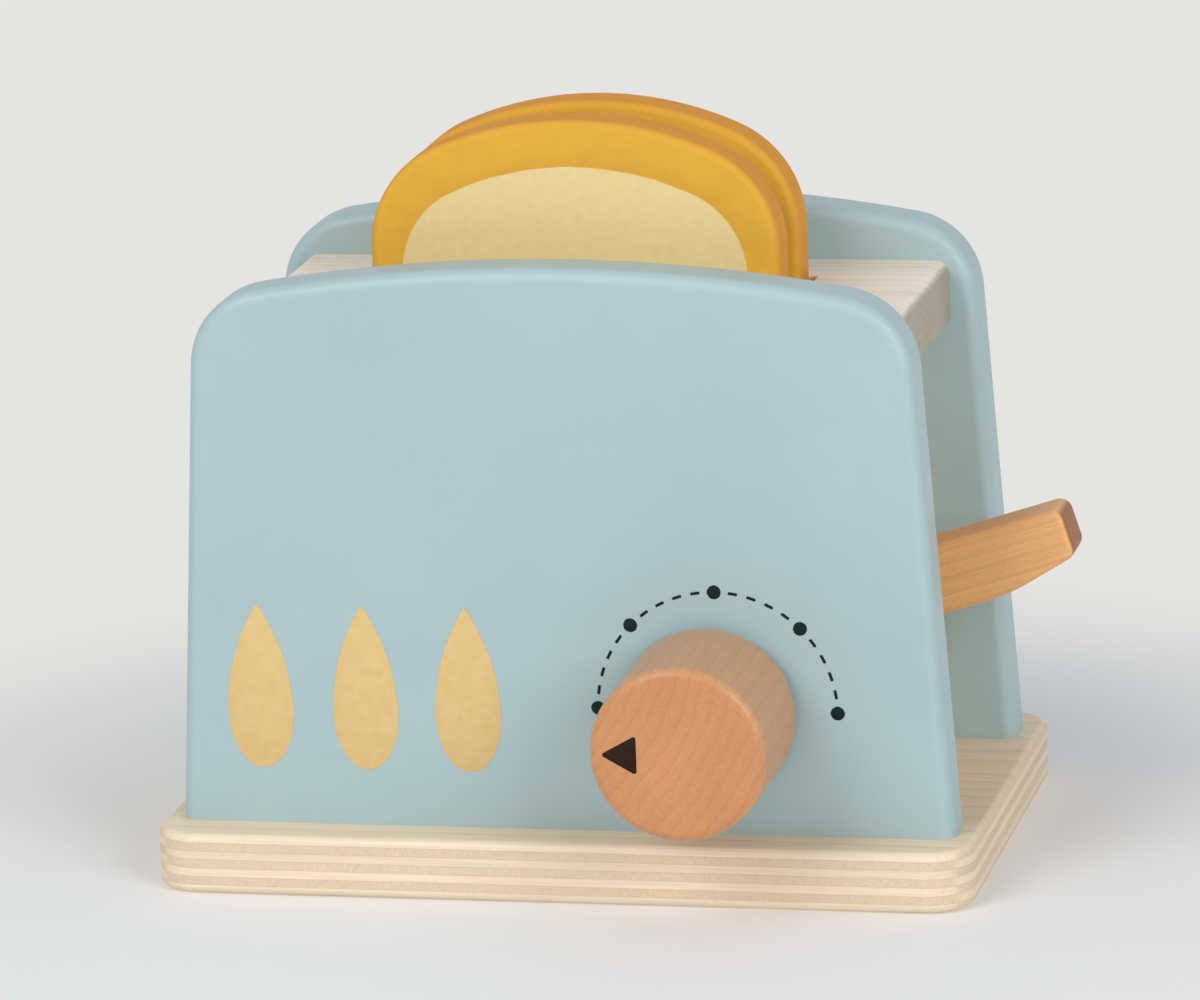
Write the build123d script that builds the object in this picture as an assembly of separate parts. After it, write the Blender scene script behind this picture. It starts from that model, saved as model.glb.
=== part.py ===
from build123d import *
import os
from math import cos, radians, sin, tan

# Wooden toy toaster, in millimetres.
# Frame: origin at the centre of the base board's underside, X to the lever side, Y to the back, Z up.
# The sizes run from the toast slices outwards: chute, walls, top plate, panels, base board.

# Toast slices
TOAST_W = 82.0
TOAST_H = 88.0
TOAST_T = 10.0
TOAST_PITCH = 20.0
TOAST_CROWN_R = 70.0
TOAST_SHOULDER_R = 22.0
TOAST_FOOT_R = 6.0
TOAST_EDGE_R = 1.6

# Clearances
SLOT_SIDE_CLEAR = 0.75
SLOT_END_CLEAR = 1.3
SEAT_GAP = 0.3
RUNNING_CLEAR = 0.05
GLUE_CLEAR = 0.05
CARRIAGE_CLEAR = 0.45
LEVER_SIDE_CLEAR = 0.75
LEVER_STOP_CLEAR = 0.7

# Boards
BASE_T = 12.0
PANEL_T = 12.0
WALL_T = 12.0
PLATE_T = 12.0
CHUTE_T = 5.0
END_BLOCK_T = 5.2

# Top plate
PLATE_OVERHANG = 6.8
PLATE_RECESS = 13.0
PLATE_END_R = 3.0
SLOT_CORNER_R = 2.0
SLOT_RIM_R = 0.8

# Front and back panels
PANEL_MARGIN = 11.1
PANEL_LEAN = 0.063
CROWN_R = 350.0
SHOULDER_R = 16.0
PANEL_EDGE_R = 2.6

# Base board
BASE_MARGIN_X = 4.2
BASE_MARGIN_Y = 10.0
BASE_CORNER_R = 9.0
BASE_EDGE_R = 1.5

# Lever: a rocking bar on a cross pin, outer end up at rest
LEVER_T = 12.0
LEVER_H = 14.0
LEVER_TILT = 17.5
LEVER_INNER_ARM = 38.2
LEVER_NECK_H = 8.0
LEVER_NOSE_R = 6.0
LEVER_EDGE_R = 1.5
LEVER_TIP_R = 2.5
LEVER_SWEEP_L = 16.0
LEVER_SWEEP_H = 4.0
LEVER_SWEEP_R = 40.0
HANDLE_REACH = 18.2
PIVOT_HEIGHT = 33.2
PIVOT_R = 3.0
SPACER_R = 6.0
SPACER_WALL_GAP = 1.5

# Toast carriage
PLATFORM_T = 6.0
FOOT_H = 13.5
FOOT_W = 16.0
FOOT_OUTER = 8.0
FOOT_INNER = 6.0
RIB_H = 12.5
RIB_CLEAR = 0.4
RIB_END_GAP = 3.0
RIB_HEADROOM = 4.0
LEDGE_W = 3.2
LEDGE_H = 6.0
LEDGE_END_GAP = 14.0
CHUTE_DROP = 12.0

# Knob and dial
DIAL_X = 30.3
DIAL_HEIGHT = 24.9
KNOB_R = 17.25
KNOB_LEN = 31.0
KNOB_EDGE_R = 2.0
WASHER_R = 12.0
WASHER_T = 1.5
AXLE_R = 4.0
AXLE_SEAT = 20.0
COLLAR_R = 9.0
COLLAR_T = 5.0
KNOB_SCREW_R = 1.5
KNOB_SCREW_LEN = 12.0
KNOB_SCREW_HEAD_R = 3.5
KNOB_SCREW_HEAD_T = 2.2
SERVICE_SPARE = 1.75

# Dowels and screws
DOWEL_R = 3.0
DOWEL_EDGE_R = 0.6
DOWEL_IN_PANEL = 8.0
DOWEL_IN_WALL = 14.0
DOWEL_IN_PLATE = 6.0
WALL_DOWEL_LOW = 14.0
WALL_DOWEL_HIGH_GAP = 28.0
PLATE_DOWEL_INSET = 12.0
SCREW_R = 1.75
SCREW_HEAD_R = 3.5
SCREW_HEAD_H = 2.4
SCREW_LEN = 25.0
SCREW_SINK = 0.3
SCREW_X_GAP = 29.0
RECESS_L = 4.0
RECESS_W = 0.8
RECESS_DEPTH = 1.2

# Places worked out from the sizes above
TILT = radians(LEVER_TILT)
SERVICE_GAP = SEAT_GAP + COLLAR_T + KNOB_SCREW_HEAD_T + SERVICE_SPARE
CHUTE_HALF_X = TOAST_W / 2 + SLOT_END_CLEAR
CHUTE_HALF_Y = TOAST_PITCH / 2 + TOAST_T / 2 + SLOT_SIDE_CLEAR
WALL_IN_X = CHUTE_HALF_X + END_BLOCK_T
WALL_OUT_X = WALL_IN_X + WALL_T
PLATE_HALF_X = WALL_OUT_X + PLATE_OVERHANG
PANEL_HALF_X = PLATE_HALF_X + PANEL_MARGIN
BASE_HALF_X = PANEL_HALF_X + BASE_MARGIN_X
GAP_HALF_Y = CHUTE_HALF_Y + CHUTE_T + SERVICE_GAP
BODY_HALF_Y = GAP_HALF_Y + PANEL_T
BASE_HALF_Y = BODY_HALF_Y + BASE_MARGIN_Y

PIVOT_X = WALL_IN_X - SPACER_R - SPACER_WALL_GAP
PIVOT_Z = BASE_T + PIVOT_HEIGHT
LIFT = 2 * LEVER_INNER_ARM * sin(TILT)
LEVER_OUTER_ARM = (PANEL_HALF_X + HANDLE_REACH - PIVOT_X) / cos(TILT)
NOSE_X = PIVOT_X - LEVER_INNER_ARM
NOSE_TOP_Z = PIVOT_Z - LEVER_INNER_ARM * sin(TILT) + LEVER_NOSE_R
FOOT_Z = NOSE_TOP_Z + SEAT_GAP
PLATFORM_Z = FOOT_Z + FOOT_H
PLATFORM_TOP_Z = PLATFORM_Z + PLATFORM_T
TOAST_Z = PLATFORM_TOP_Z + SEAT_GAP
PLATE_Z = PLATFORM_TOP_Z + RIB_H + LIFT + RIB_HEADROOM
PLATE_TOP_Z = PLATE_Z + PLATE_T
CROWN_Z = PLATE_TOP_Z + PLATE_RECESS
PANEL_H = CROWN_Z - BASE_T
CHUTE_Z = PIVOT_Z - CHUTE_DROP
RIB_HALF_Y = TOAST_PITCH / 2 - TOAST_T / 2 - RIB_CLEAR
DIAL_Z = BASE_T + DIAL_HEIGHT
KNOB_BACK_Y = -BODY_HALF_Y - WASHER_T - SEAT_GAP
COLLAR_FRONT_Y = -GAP_HALF_Y + SEAT_GAP
WALL_MID_X = (WALL_IN_X + WALL_OUT_X) / 2
WALL_DOWEL_ZS = (BASE_T + WALL_DOWEL_LOW, PLATE_Z - WALL_DOWEL_HIGH_GAP)


def block(x0, x1, y0, y1, z0, z1):
    """A box between two corners."""
    size = Box(x1 - x0, y1 - y0, z1 - z0, align=Align.MIN)
    return Pos(x0, y0, z0) * size


def rod_y(x, z, radius, y0, y1):
    """A round bar along Y."""
    bar = Cylinder(radius, y1 - y0, align=(Align.CENTER, Align.CENTER, Align.MIN))
    return Pos(x, y0, z) * Rot(-90, 0, 0) * bar


def rod_z(x, y, radius, z0, z1):
    """A round bar along Z."""
    bar = Cylinder(radius, z1 - z0, align=(Align.CENTER, Align.CENTER, Align.MIN))
    return Pos(x, y, z0) * bar


def slab(outline, y_back, thickness):
    """An XZ outline made into a board whose back face is at y_back."""
    return Pos(0, y_back, 0) * extrude(Plane.XZ * outline, thickness)


def rounded_rod_ends(rod, radius):
    """A rod with its two end rims rounded."""
    return fillet(rod.edges().filter_by(GeomType.CIRCLE), radius)


def pair(value):
    """The same distance on both sides of the middle."""
    return (-value, value)


def base_board():
    """Board with rounded corners, countersunk from below for the screws."""
    board = block(*pair(BASE_HALF_X), *pair(BASE_HALF_Y), 0, BASE_T)
    board = fillet(board.edges().filter_by(Axis.Z), BASE_CORNER_R)
    rims = board.edges().filter_by_position(Axis.Z, 0, 0) + board.edges().filter_by_position(
        Axis.Z, BASE_T, BASE_T
    )
    board = fillet(rims, BASE_EDGE_R)
    for x, y in screw_places():
        board -= Pos(x, y, 0) * screw_hole(BASE_T)
    return board


def screw_places():
    """Where the base screws go up: two into each panel and one into each side wall."""
    panel_y = GAP_HALF_Y + PANEL_T / 2
    panel_x = PANEL_HALF_X - SCREW_X_GAP
    corners = [(x, y) for x in pair(panel_x) for y in pair(panel_y)]
    return corners + [(x, 0) for x in pair(WALL_MID_X)]


def screw_hole(top_z):
    """Countersink and clearance hole for a base screw, from the underside up to top_z."""
    wide = SCREW_HEAD_R + GLUE_CLEAR
    narrow = SCREW_R + GLUE_CLEAR
    cone = Cone(wide, narrow, SCREW_HEAD_H, align=(Align.CENTER, Align.CENTER, Align.MIN))
    return rod_z(0, 0, wide, 0, SCREW_SINK) + Pos(0, 0, SCREW_SINK) * cone + rod_z(0, 0, narrow, 0, top_z)


def screw_pilot():
    """Pilot hole above the base board for a base screw."""
    return rod_z(0, 0, SCREW_R + GLUE_CLEAR, BASE_T, SCREW_SINK + SCREW_LEN + SEAT_GAP)


def base_screws():
    """Countersunk cross-head screws under the base board."""
    head = Cone(SCREW_HEAD_R, SCREW_R, SCREW_HEAD_H, align=(Align.CENTER, Align.CENTER, Align.MIN))
    tip_z = SCREW_LEN - 2 * SCREW_R
    tip = Cone(SCREW_R, SCREW_R / 3, 2 * SCREW_R, align=(Align.CENTER, Align.CENTER, Align.MIN))
    screw = head + rod_z(0, 0, SCREW_R, SCREW_HEAD_H, tip_z) + Pos(0, 0, tip_z) * tip
    screw -= cross_recess(0)
    return [Pos(x, y, SCREW_SINK) * screw for x, y in screw_places()]


def cross_recess(z):
    """Two crossed slots cut upwards from z."""
    slots = [
        block(*pair(a / 2), *pair(b / 2), z, z + RECESS_DEPTH)
        for a, b in ((RECESS_L, RECESS_W), (RECESS_W, RECESS_L))
    ]
    return slots[0] + slots[1]


def panel_outline():
    """Leaning sides, gently crowned top and round shoulders, drawn in X and Z."""
    top_half = PANEL_HALF_X - PANEL_LEAN * PANEL_H
    sides = Polygon(
        (-PANEL_HALF_X, BASE_T),
        (PANEL_HALF_X, BASE_T),
        (top_half, CROWN_Z),
        (-top_half, CROWN_Z),
        align=None,
    )
    crowned = sides & Pos(0, CROWN_Z - CROWN_R) * Circle(CROWN_R)
    shoulders = crowned.vertices().sort_by(Axis.Y)[2:]
    return fillet(shoulders, SHOULDER_R)


def panel(y_back, inner_y, inward):
    """A panel with eased edges and the bores of its inner face.

    inward is +1 where the toaster's middle lies towards +Y of the panel, and -1 where it lies towards -Y.
    """
    board = slab(panel_outline(), y_back, PANEL_T)
    rims = [
        edge
        for edge in board.edges()
        if edge.bounding_box().size.Y < PANEL_T / 2 and edge.center().Z > BASE_T + PANEL_EDGE_R
    ]
    board = fillet(rims, PANEL_EDGE_R)
    bore_y = sorted((inner_y - inward * DOWEL_IN_PANEL, inner_y))
    for x in pair(WALL_MID_X):
        for z in WALL_DOWEL_ZS:
            board -= rod_y(x, z, DOWEL_R + GLUE_CLEAR, *bore_y)
    for x, y in screw_places():
        if y * inward < 0:
            board -= Pos(x, y, 0) * screw_pilot()
    return board


def front_panel():
    """Front panel, with the knob axle's bore through it."""
    board = panel(-GAP_HALF_Y, -GAP_HALF_Y, 1)
    return board - rod_y(DIAL_X, DIAL_Z, AXLE_R + RUNNING_CLEAR, -BODY_HALF_Y, -GAP_HALF_Y)


def back_panel():
    """Back panel."""
    return panel(BODY_HALF_Y, GAP_HALF_Y, -1)


def side_wall(side):
    """Wall between the panels, with bores for its dowels and its base screw. side is -1 left, +1 right."""
    x0, x1 = sorted((side * WALL_IN_X, side * WALL_OUT_X))
    wall = block(x0, x1, *pair(GAP_HALF_Y), BASE_T, PLATE_Z)
    middle = side * WALL_MID_X
    for z in WALL_DOWEL_ZS:
        for y in pair(GAP_HALF_Y):
            inner = y - DOWEL_IN_WALL if y > 0 else y + DOWEL_IN_WALL
            wall -= rod_y(middle, z, DOWEL_R + GLUE_CLEAR, *sorted((y, inner)))
    for y in pair(GAP_HALF_Y - PLATE_DOWEL_INSET):
        wall -= rod_z(middle, y, DOWEL_R + GLUE_CLEAR, PLATE_Z - DOWEL_IN_WALL, PLATE_Z)
    return wall - Pos(middle, 0, 0) * screw_pilot()


def lever_slot():
    """Upright slot in the right wall that the lever rocks in."""
    reach = (WALL_OUT_X - PIVOT_X) * tan(TILT) + LEVER_H / 2 / cos(TILT) + LEVER_STOP_CLEAR
    half_y = LEVER_T / 2 + LEVER_SIDE_CLEAR
    slot = block(WALL_IN_X, WALL_OUT_X, *pair(half_y), PIVOT_Z - reach, PIVOT_Z + reach)
    return fillet(slot.edges().filter_by(Axis.X), SLOT_CORNER_R)


def right_side_wall():
    """Right wall with the lever's slot."""
    return side_wall(1) - lever_slot()


def top_plate():
    """Plate on the walls, with two slots for the slices and dowel bores from below."""
    plate = block(*pair(PLATE_HALF_X), *pair(GAP_HALF_Y), PLATE_Z, PLATE_TOP_Z)
    ends = plate.edges().filter_by(Axis.Y).group_by(Axis.Z)[-1]
    plate = fillet(ends, PLATE_END_R)
    slot_half_y = TOAST_T / 2 + SLOT_SIDE_CLEAR
    for y in pair(TOAST_PITCH / 2):
        slot = block(*pair(CHUTE_HALF_X), y - slot_half_y, y + slot_half_y, PLATE_Z, PLATE_TOP_Z)
        plate -= fillet(slot.edges().filter_by(Axis.Z), SLOT_CORNER_R)
    rim = [
        edge
        for edge in plate.edges().filter_by_position(Axis.Z, PLATE_TOP_Z, PLATE_TOP_Z)
        if abs(edge.center().X) < CHUTE_HALF_X + SLOT_RIM_R and abs(edge.center().Y) < CHUTE_HALF_Y + SLOT_RIM_R
    ]
    plate = fillet(rim, SLOT_RIM_R)
    for x in pair(WALL_MID_X):
        for y in pair(GAP_HALF_Y - PLATE_DOWEL_INSET):
            plate -= rod_z(x, y, DOWEL_R + GLUE_CLEAR, PLATE_Z, PLATE_Z + DOWEL_IN_PLATE)
    return plate


def chute_board(side):
    """Thin board that guides the slices, front (-1) or back (+1), with a hole for the pivot pin."""
    y0, y1 = sorted((side * CHUTE_HALF_Y, side * (CHUTE_HALF_Y + CHUTE_T)))
    board = block(*pair(WALL_IN_X), y0, y1, CHUTE_Z, PLATE_Z)
    return board - rod_y(PIVOT_X, PIVOT_Z, PIVOT_R + GLUE_CLEAR, y0, y1)


def chute_end(side):
    """Block at an end of the chute, which stops above the lever. side is -1 left, +1 right."""
    x0, x1 = sorted((side * CHUTE_HALF_X, side * WALL_IN_X))
    lever_top = PIVOT_Z + (WALL_IN_X - PIVOT_X) * tan(TILT) + LEVER_H / 2 / cos(TILT)
    return block(x0, x1, *pair(CHUTE_HALF_Y), lever_top + LEVER_STOP_CLEAR, PLATE_Z)


def carriage_ledge(side):
    """Strip on a chute board that the carriage comes down on. side is -1 front, +1 back."""
    y0, y1 = sorted((side * (CHUTE_HALF_Y - LEDGE_W), side * CHUTE_HALF_Y))
    end = PIVOT_X - SPACER_R - LEDGE_END_GAP
    strip = block(*pair(end), y0, y1, PLATFORM_Z - SEAT_GAP - LEDGE_H, PLATFORM_Z - SEAT_GAP)
    return strip


def carriage_platform():
    """Board that carries both slices."""
    half_x = CHUTE_HALF_X - CARRIAGE_CLEAR
    half_y = CHUTE_HALF_Y - CARRIAGE_CLEAR
    return block(*pair(half_x), *pair(half_y), PLATFORM_Z, PLATFORM_TOP_Z)


def carriage_rib():
    """Rib on the platform that keeps the slices apart."""
    half_x = CHUTE_HALF_X - RIB_END_GAP
    rib = block(*pair(half_x), *pair(RIB_HALF_Y), PLATFORM_TOP_Z, PLATFORM_TOP_Z + RIB_H)
    top = rib.edges().filter_by(Axis.X).group_by(Axis.Z)[-1]
    return fillet(top, RIB_HALF_Y / 3)


def carriage_foot():
    """Block under the platform that the lever's nose lifts."""
    return block(
        NOSE_X - FOOT_OUTER, NOSE_X + FOOT_INNER, *pair(FOOT_W / 2), FOOT_Z, PLATFORM_Z
    )


def lever_outline():
    """The lever lying level with its pivot at the origin.

    The handle runs to +X and its underside sweeps up to the tip; the inner arm tapers to a round nose at -X.
    """
    half = LEVER_H / 2
    neck = LEVER_NECK_H / 2
    bar = Polygon(
        (0, -half),
        (LEVER_OUTER_ARM - LEVER_SWEEP_L, -half),
        (LEVER_OUTER_ARM, -half + LEVER_SWEEP_H),
        (LEVER_OUTER_ARM, half),
        (0, half),
        align=None,
    )
    bar = fillet(bar.vertices().sort_by(Axis.X)[2], LEVER_SWEEP_R)
    bar = fillet(bar.vertices().group_by(Axis.X)[-1], LEVER_TIP_R)
    arm = Polygon((0, half), (-LEVER_INNER_ARM, neck), (-LEVER_INNER_ARM, -neck), (0, -half), align=None)
    return bar + arm + Pos(-LEVER_INNER_ARM, 0) * Circle(LEVER_NOSE_R)


def lever():
    """Lever at rest, with its outer end up."""
    bar = extrude(Plane.XZ * lever_outline(), LEVER_T / 2, both=True)
    rims = [edge for edge in bar.edges() if edge.bounding_box().size.Y < LEVER_T / 2]
    bar = fillet(rims, LEVER_EDGE_R)
    bar -= rod_y(0, 0, PIVOT_R + RUNNING_CLEAR, *pair(LEVER_T / 2))
    return Pos(PIVOT_X, 0, PIVOT_Z) * Rot(0, -LEVER_TILT, 0) * bar


def lever_pivot_pin():
    """Cross pin held in both chute boards."""
    end = CHUTE_HALF_Y + CHUTE_T
    return rounded_rod_ends(rod_y(PIVOT_X, PIVOT_Z, PIVOT_R, *pair(end)), DOWEL_EDGE_R)


def pivot_spacer(side):
    """Wooden sleeve on the pin between the lever and a chute board. side is -1 front, +1 back."""
    y0, y1 = sorted((side * (LEVER_T / 2 + SEAT_GAP), side * CHUTE_HALF_Y))
    sleeve = rod_y(PIVOT_X, PIVOT_Z, SPACER_R, y0, y1)
    return sleeve - rod_y(PIVOT_X, PIVOT_Z, PIVOT_R + GLUE_CLEAR, y0, y1)


def knob():
    """Round knob with eased rims and a blind bore for its axle."""
    front_y = KNOB_BACK_Y - KNOB_LEN
    body = rod_y(DIAL_X, DIAL_Z, KNOB_R, front_y, KNOB_BACK_Y)
    front, back = body.edges().filter_by(GeomType.CIRCLE).sort_by(Axis.Y)
    body = fillet([front, back], KNOB_EDGE_R)
    return body - rod_y(DIAL_X, DIAL_Z, AXLE_R + GLUE_CLEAR, KNOB_BACK_Y - AXLE_SEAT, KNOB_BACK_Y)


def knob_axle():
    """Dowel from the knob through the front panel, bored for the knob screw."""
    front_y = KNOB_BACK_Y - AXLE_SEAT + SEAT_GAP
    axle = rod_y(DIAL_X, DIAL_Z, AXLE_R, front_y, COLLAR_FRONT_Y)
    bore_y = COLLAR_FRONT_Y - KNOB_SCREW_LEN + COLLAR_T - SEAT_GAP
    return axle - rod_y(DIAL_X, DIAL_Z, KNOB_SCREW_R + GLUE_CLEAR, bore_y, COLLAR_FRONT_Y)


def knob_washer():
    """Felt ring on the front panel behind the knob."""
    ring = rod_y(DIAL_X, DIAL_Z, WASHER_R, -BODY_HALF_Y - WASHER_T, -BODY_HALF_Y)
    return ring - rod_y(
        DIAL_X, DIAL_Z, AXLE_R + SEAT_GAP, -BODY_HALF_Y - WASHER_T, -BODY_HALF_Y
    )


def knob_collar():
    """Disc on the inner end of the axle that keeps the knob in the panel."""
    back_y = COLLAR_FRONT_Y + COLLAR_T
    disc = rounded_rod_ends(rod_y(DIAL_X, DIAL_Z, COLLAR_R, COLLAR_FRONT_Y, back_y), DOWEL_EDGE_R)
    return disc - rod_y(DIAL_X, DIAL_Z, KNOB_SCREW_R + GLUE_CLEAR, COLLAR_FRONT_Y, back_y)


def knob_screw():
    """Round-head screw through the collar into the axle."""
    seat_y = COLLAR_FRONT_Y + COLLAR_T
    head = rod_y(DIAL_X, DIAL_Z, KNOB_SCREW_HEAD_R, seat_y, seat_y + KNOB_SCREW_HEAD_T)
    head = fillet(head.edges().filter_by(GeomType.CIRCLE).sort_by(Axis.Y)[-1], KNOB_SCREW_HEAD_T / 2)
    shank = rod_y(DIAL_X, DIAL_Z, KNOB_SCREW_R, seat_y - KNOB_SCREW_LEN, seat_y)
    slots = Pos(DIAL_X, seat_y + KNOB_SCREW_HEAD_T, DIAL_Z) * Rot(90, 0, 0) * cross_recess(0)
    return head + shank - slots


def toast_outline():
    """Slice with straight sides, a domed top and rounded lower corners, standing on Z = 0."""
    half = TOAST_W / 2
    body = Polygon((-half, 0), (half, 0), (half, TOAST_H), (-half, TOAST_H), align=None)
    domed = body & Pos(0, TOAST_H - TOAST_CROWN_R) * Circle(TOAST_CROWN_R)
    domed = fillet(domed.vertices().group_by(Axis.Y)[-1], TOAST_SHOULDER_R)
    return fillet(domed.vertices().group_by(Axis.Y)[0], TOAST_FOOT_R)


def toast(side):
    """A slice standing on the platform. side is -1 front, +1 back."""
    y_back = side * TOAST_PITCH / 2 + TOAST_T / 2
    slice_body = slab(toast_outline(), y_back, TOAST_T)
    rims = [edge for edge in slice_body.edges() if edge.bounding_box().size.Y < TOAST_T / 2]
    return Pos(0, 0, TOAST_Z) * fillet(rims, TOAST_EDGE_R)


def wall_dowels():
    """Glued dowels between the side walls and the two panels."""
    reach = DOWEL_IN_PANEL - SEAT_GAP
    depth = DOWEL_IN_WALL - SEAT_GAP
    dowels = []
    for x in pair(WALL_MID_X):
        for z in WALL_DOWEL_ZS:
            for y in pair(GAP_HALF_Y):
                outward = 1 if y > 0 else -1
                ends = sorted((y + outward * reach, y - outward * depth))
                dowels.append(rounded_rod_ends(rod_y(x, z, DOWEL_R, *ends), DOWEL_EDGE_R))
    return dowels


def plate_dowels():
    """Glued dowels between the top plate and the side walls."""
    low = PLATE_Z - DOWEL_IN_WALL + SEAT_GAP
    high = PLATE_Z + DOWEL_IN_PLATE - SEAT_GAP
    return [
        rounded_rod_ends(rod_z(x, y, DOWEL_R, low, high), DOWEL_EDGE_R)
        for x in pair(WALL_MID_X)
        for y in pair(GAP_HALF_Y - PLATE_DOWEL_INSET)
    ]


def all_nodes():
    """Every node's name with its solid or solids."""
    return {
        "base_board": base_board(),
        "front_panel": front_panel(),
        "back_panel": back_panel(),
        "left_side_wall": side_wall(-1),
        "right_side_wall": right_side_wall(),
        "top_plate": top_plate(),
        "chute_front_board": chute_board(-1),
        "chute_back_board": chute_board(1),
        "chute_left_end": chute_end(-1),
        "chute_right_end": chute_end(1),
        "carriage_ledge_front": carriage_ledge(-1),
        "carriage_ledge_back": carriage_ledge(1),
        "carriage_platform": carriage_platform(),
        "carriage_rib": carriage_rib(),
        "carriage_foot": carriage_foot(),
        "lever": lever(),
        "lever_pivot_pin": lever_pivot_pin(),
        "pivot_spacer_front": pivot_spacer(-1),
        "pivot_spacer_back": pivot_spacer(1),
        "knob": knob(),
        "knob_axle": knob_axle(),
        "knob_washer": knob_washer(),
        "knob_collar": knob_collar(),
        "knob_screw": knob_screw(),
        "toast_front": toast(-1),
        "toast_back": toast(1),
        "base_screws": base_screws(),
        "wall_dowels": wall_dowels(),
        "plate_dowels": plate_dowels(),
    }


os.makedirs("parts", exist_ok=True)
for name, shape in all_nodes().items():
    solids = shape if isinstance(shape, list) else [shape]
    export_step(Compound(children=[s for piece in solids for s in piece.solids()]), f"parts/{name}.step")
print(f"lever {LEVER_TILT * 2} deg, carriage lift {LIFT:.3f} mm, pivot ({PIVOT_X:.2f}, {PIVOT_Z:.2f})")
print(f"crown at {CROWN_Z:.2f}, plate top at {PLATE_TOP_Z:.2f}, gap {2 * GAP_HALF_Y:.2f}")
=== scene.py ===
import logging
import math
from collections.abc import Iterable, Iterator
from dataclasses import dataclass
from enum import Enum
from functools import partial

import bpy
from mathutils import Matrix, Vector


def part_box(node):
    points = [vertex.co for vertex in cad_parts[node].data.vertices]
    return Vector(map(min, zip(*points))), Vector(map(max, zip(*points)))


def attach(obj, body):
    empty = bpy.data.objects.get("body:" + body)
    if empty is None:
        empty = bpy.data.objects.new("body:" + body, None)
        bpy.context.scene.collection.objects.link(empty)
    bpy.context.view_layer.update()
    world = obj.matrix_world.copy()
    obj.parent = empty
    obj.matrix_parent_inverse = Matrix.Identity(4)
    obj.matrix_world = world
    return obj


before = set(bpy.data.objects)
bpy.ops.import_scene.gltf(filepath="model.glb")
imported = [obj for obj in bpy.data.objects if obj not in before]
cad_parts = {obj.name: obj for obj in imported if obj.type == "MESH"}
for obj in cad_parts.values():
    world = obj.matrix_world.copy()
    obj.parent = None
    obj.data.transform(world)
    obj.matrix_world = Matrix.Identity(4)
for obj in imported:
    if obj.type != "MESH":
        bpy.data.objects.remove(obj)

# The looks of a wooden toy toaster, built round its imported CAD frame.
# Everything is in metres in the row frame: base board underside at Z = 0, lever side at +X, front at -Y.

LOG = logging.getLogger("toy_toaster")
MM = 0.001
LEVER_TILT = math.radians(17.5)
SMOOTH_BELOW = math.radians(35)

# noise has a faint seam where a coordinate is 0, so patterns start this many millimetres away from it
NOISE_START = (211.7, 173.3)
# nearly all of a noise's values lie between these
NOISE_RANGE = {"From Min": 0.3, "From Max": 0.7}
# a wave pattern of scale 1 repeats after this much of a unit
WAVE_PERIOD = 0.314

Triple = tuple[float, float, float]
Tree = bpy.types.NodeTree
Node = bpy.types.Node
Piece = bpy.types.Object


class Grain(Enum):
    """Which row axis a board's fibres run along, kept as the turn that brings that axis to X."""

    ALONG_X = (0.0, 0.0, 0.0)
    ALONG_Y = (0.0, 0.0, -math.pi / 2)
    ALONG_Z = (0.0, math.pi / 2, 0.0)
    ALONG_LEVER = (0.0, LEVER_TILT, 0.0)


class Layup(Enum):
    """Which row axis plywood is stacked along, kept as the turn that brings that axis to Z."""

    STACKED_Z = (0.0, 0.0, 0.0)
    STACKED_Y = (math.pi / 2, 0.0, 0.0)


class Slot(Enum):
    """Names of three material slots in the record."""

    TOAST_PAINT = "toast_paint"
    DARK_PRINT = "dark_print"
    YELLOW_PRINT = "yellow_print"


# --- Nodes ---


def linear(colour: str) -> tuple[float, float, float, float]:
    """Turns an sRGB hex colour into the linear values that shader sockets take.

    Args:
        colour: Hex colour, such as "#B0C8CC".

    Returns:
        Linear red, green and blue, and an alpha of 1.
    """
    channels = [int(colour[i : i + 2], 16) / 255 for i in (1, 3, 5)]
    red, green, blue = [c / 12.92 if c <= 0.04045 else ((c + 0.055) / 1.055) ** 2.4 for c in channels]
    return red, green, blue, 1.0


def set_inputs(tree: Tree, node: Node, inputs: dict) -> None:
    """Sets a node's inputs. A node given as a value stands for its first output in use.

    Args:
        tree: Node tree that the node is in.
        node: The node.
        inputs: Input name or number, to its value or to the node or output that it is linked to.
    """
    for socket, value in inputs.items():
        if isinstance(value, Node):
            value = next(output for output in value.outputs if output.enabled)
        if isinstance(value, bpy.types.NodeSocket):
            tree.links.new(value, node.inputs[socket])
        else:
            node.inputs[socket].default_value = value


def add_node(
    tree: Tree,
    kind: str,
    inputs: dict | None = None,
    stops: Iterable[tuple[float, str]] = (),
    **settings: object,
) -> Node:
    """Adds one shader node with its settings, its values and links, and its colour stops.

    Args:
        tree: Node tree that takes the node.
        kind: Blender's id of the node, without its ShaderNode start.
        inputs: Input name or number, to its value or to the node or output that it is linked to.
        stops: Places and hex colours of a colour ramp, lowest first.
        **settings: Attributes of the node.

    Returns:
        The new node.
    """
    node = tree.nodes.new("ShaderNode" + kind)
    for name, value in settings.items():
        setattr(node, name, value)
    set_inputs(tree, node, inputs or {})
    for number, (place, colour) in enumerate(stops):
        if number > 1:
            node.color_ramp.elements.new(1.0)
        node.color_ramp.elements[number].position = place
        node.color_ramp.elements[number].color = linear(colour)
    return node


def place_in_mm(tree: Tree, turn: Triple = (0.0, 0.0, 0.0), move: Triple = (0.0, 0.0, 0.0)) -> Node:
    """Gives the place on the object in millimetres.

    Args:
        tree: Node tree to add to.
        turn: Euler turn of the coordinates, in radians.
        move: Millimetres added after the turn.

    Returns:
        The node with the place.
    """
    add = partial(add_node, tree)
    place = add("TexCoord").outputs["Object"]
    return add("Mapping", {"Vector": place, "Scale": (1 / MM,) * 3, "Rotation": turn, "Location": move})


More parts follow.
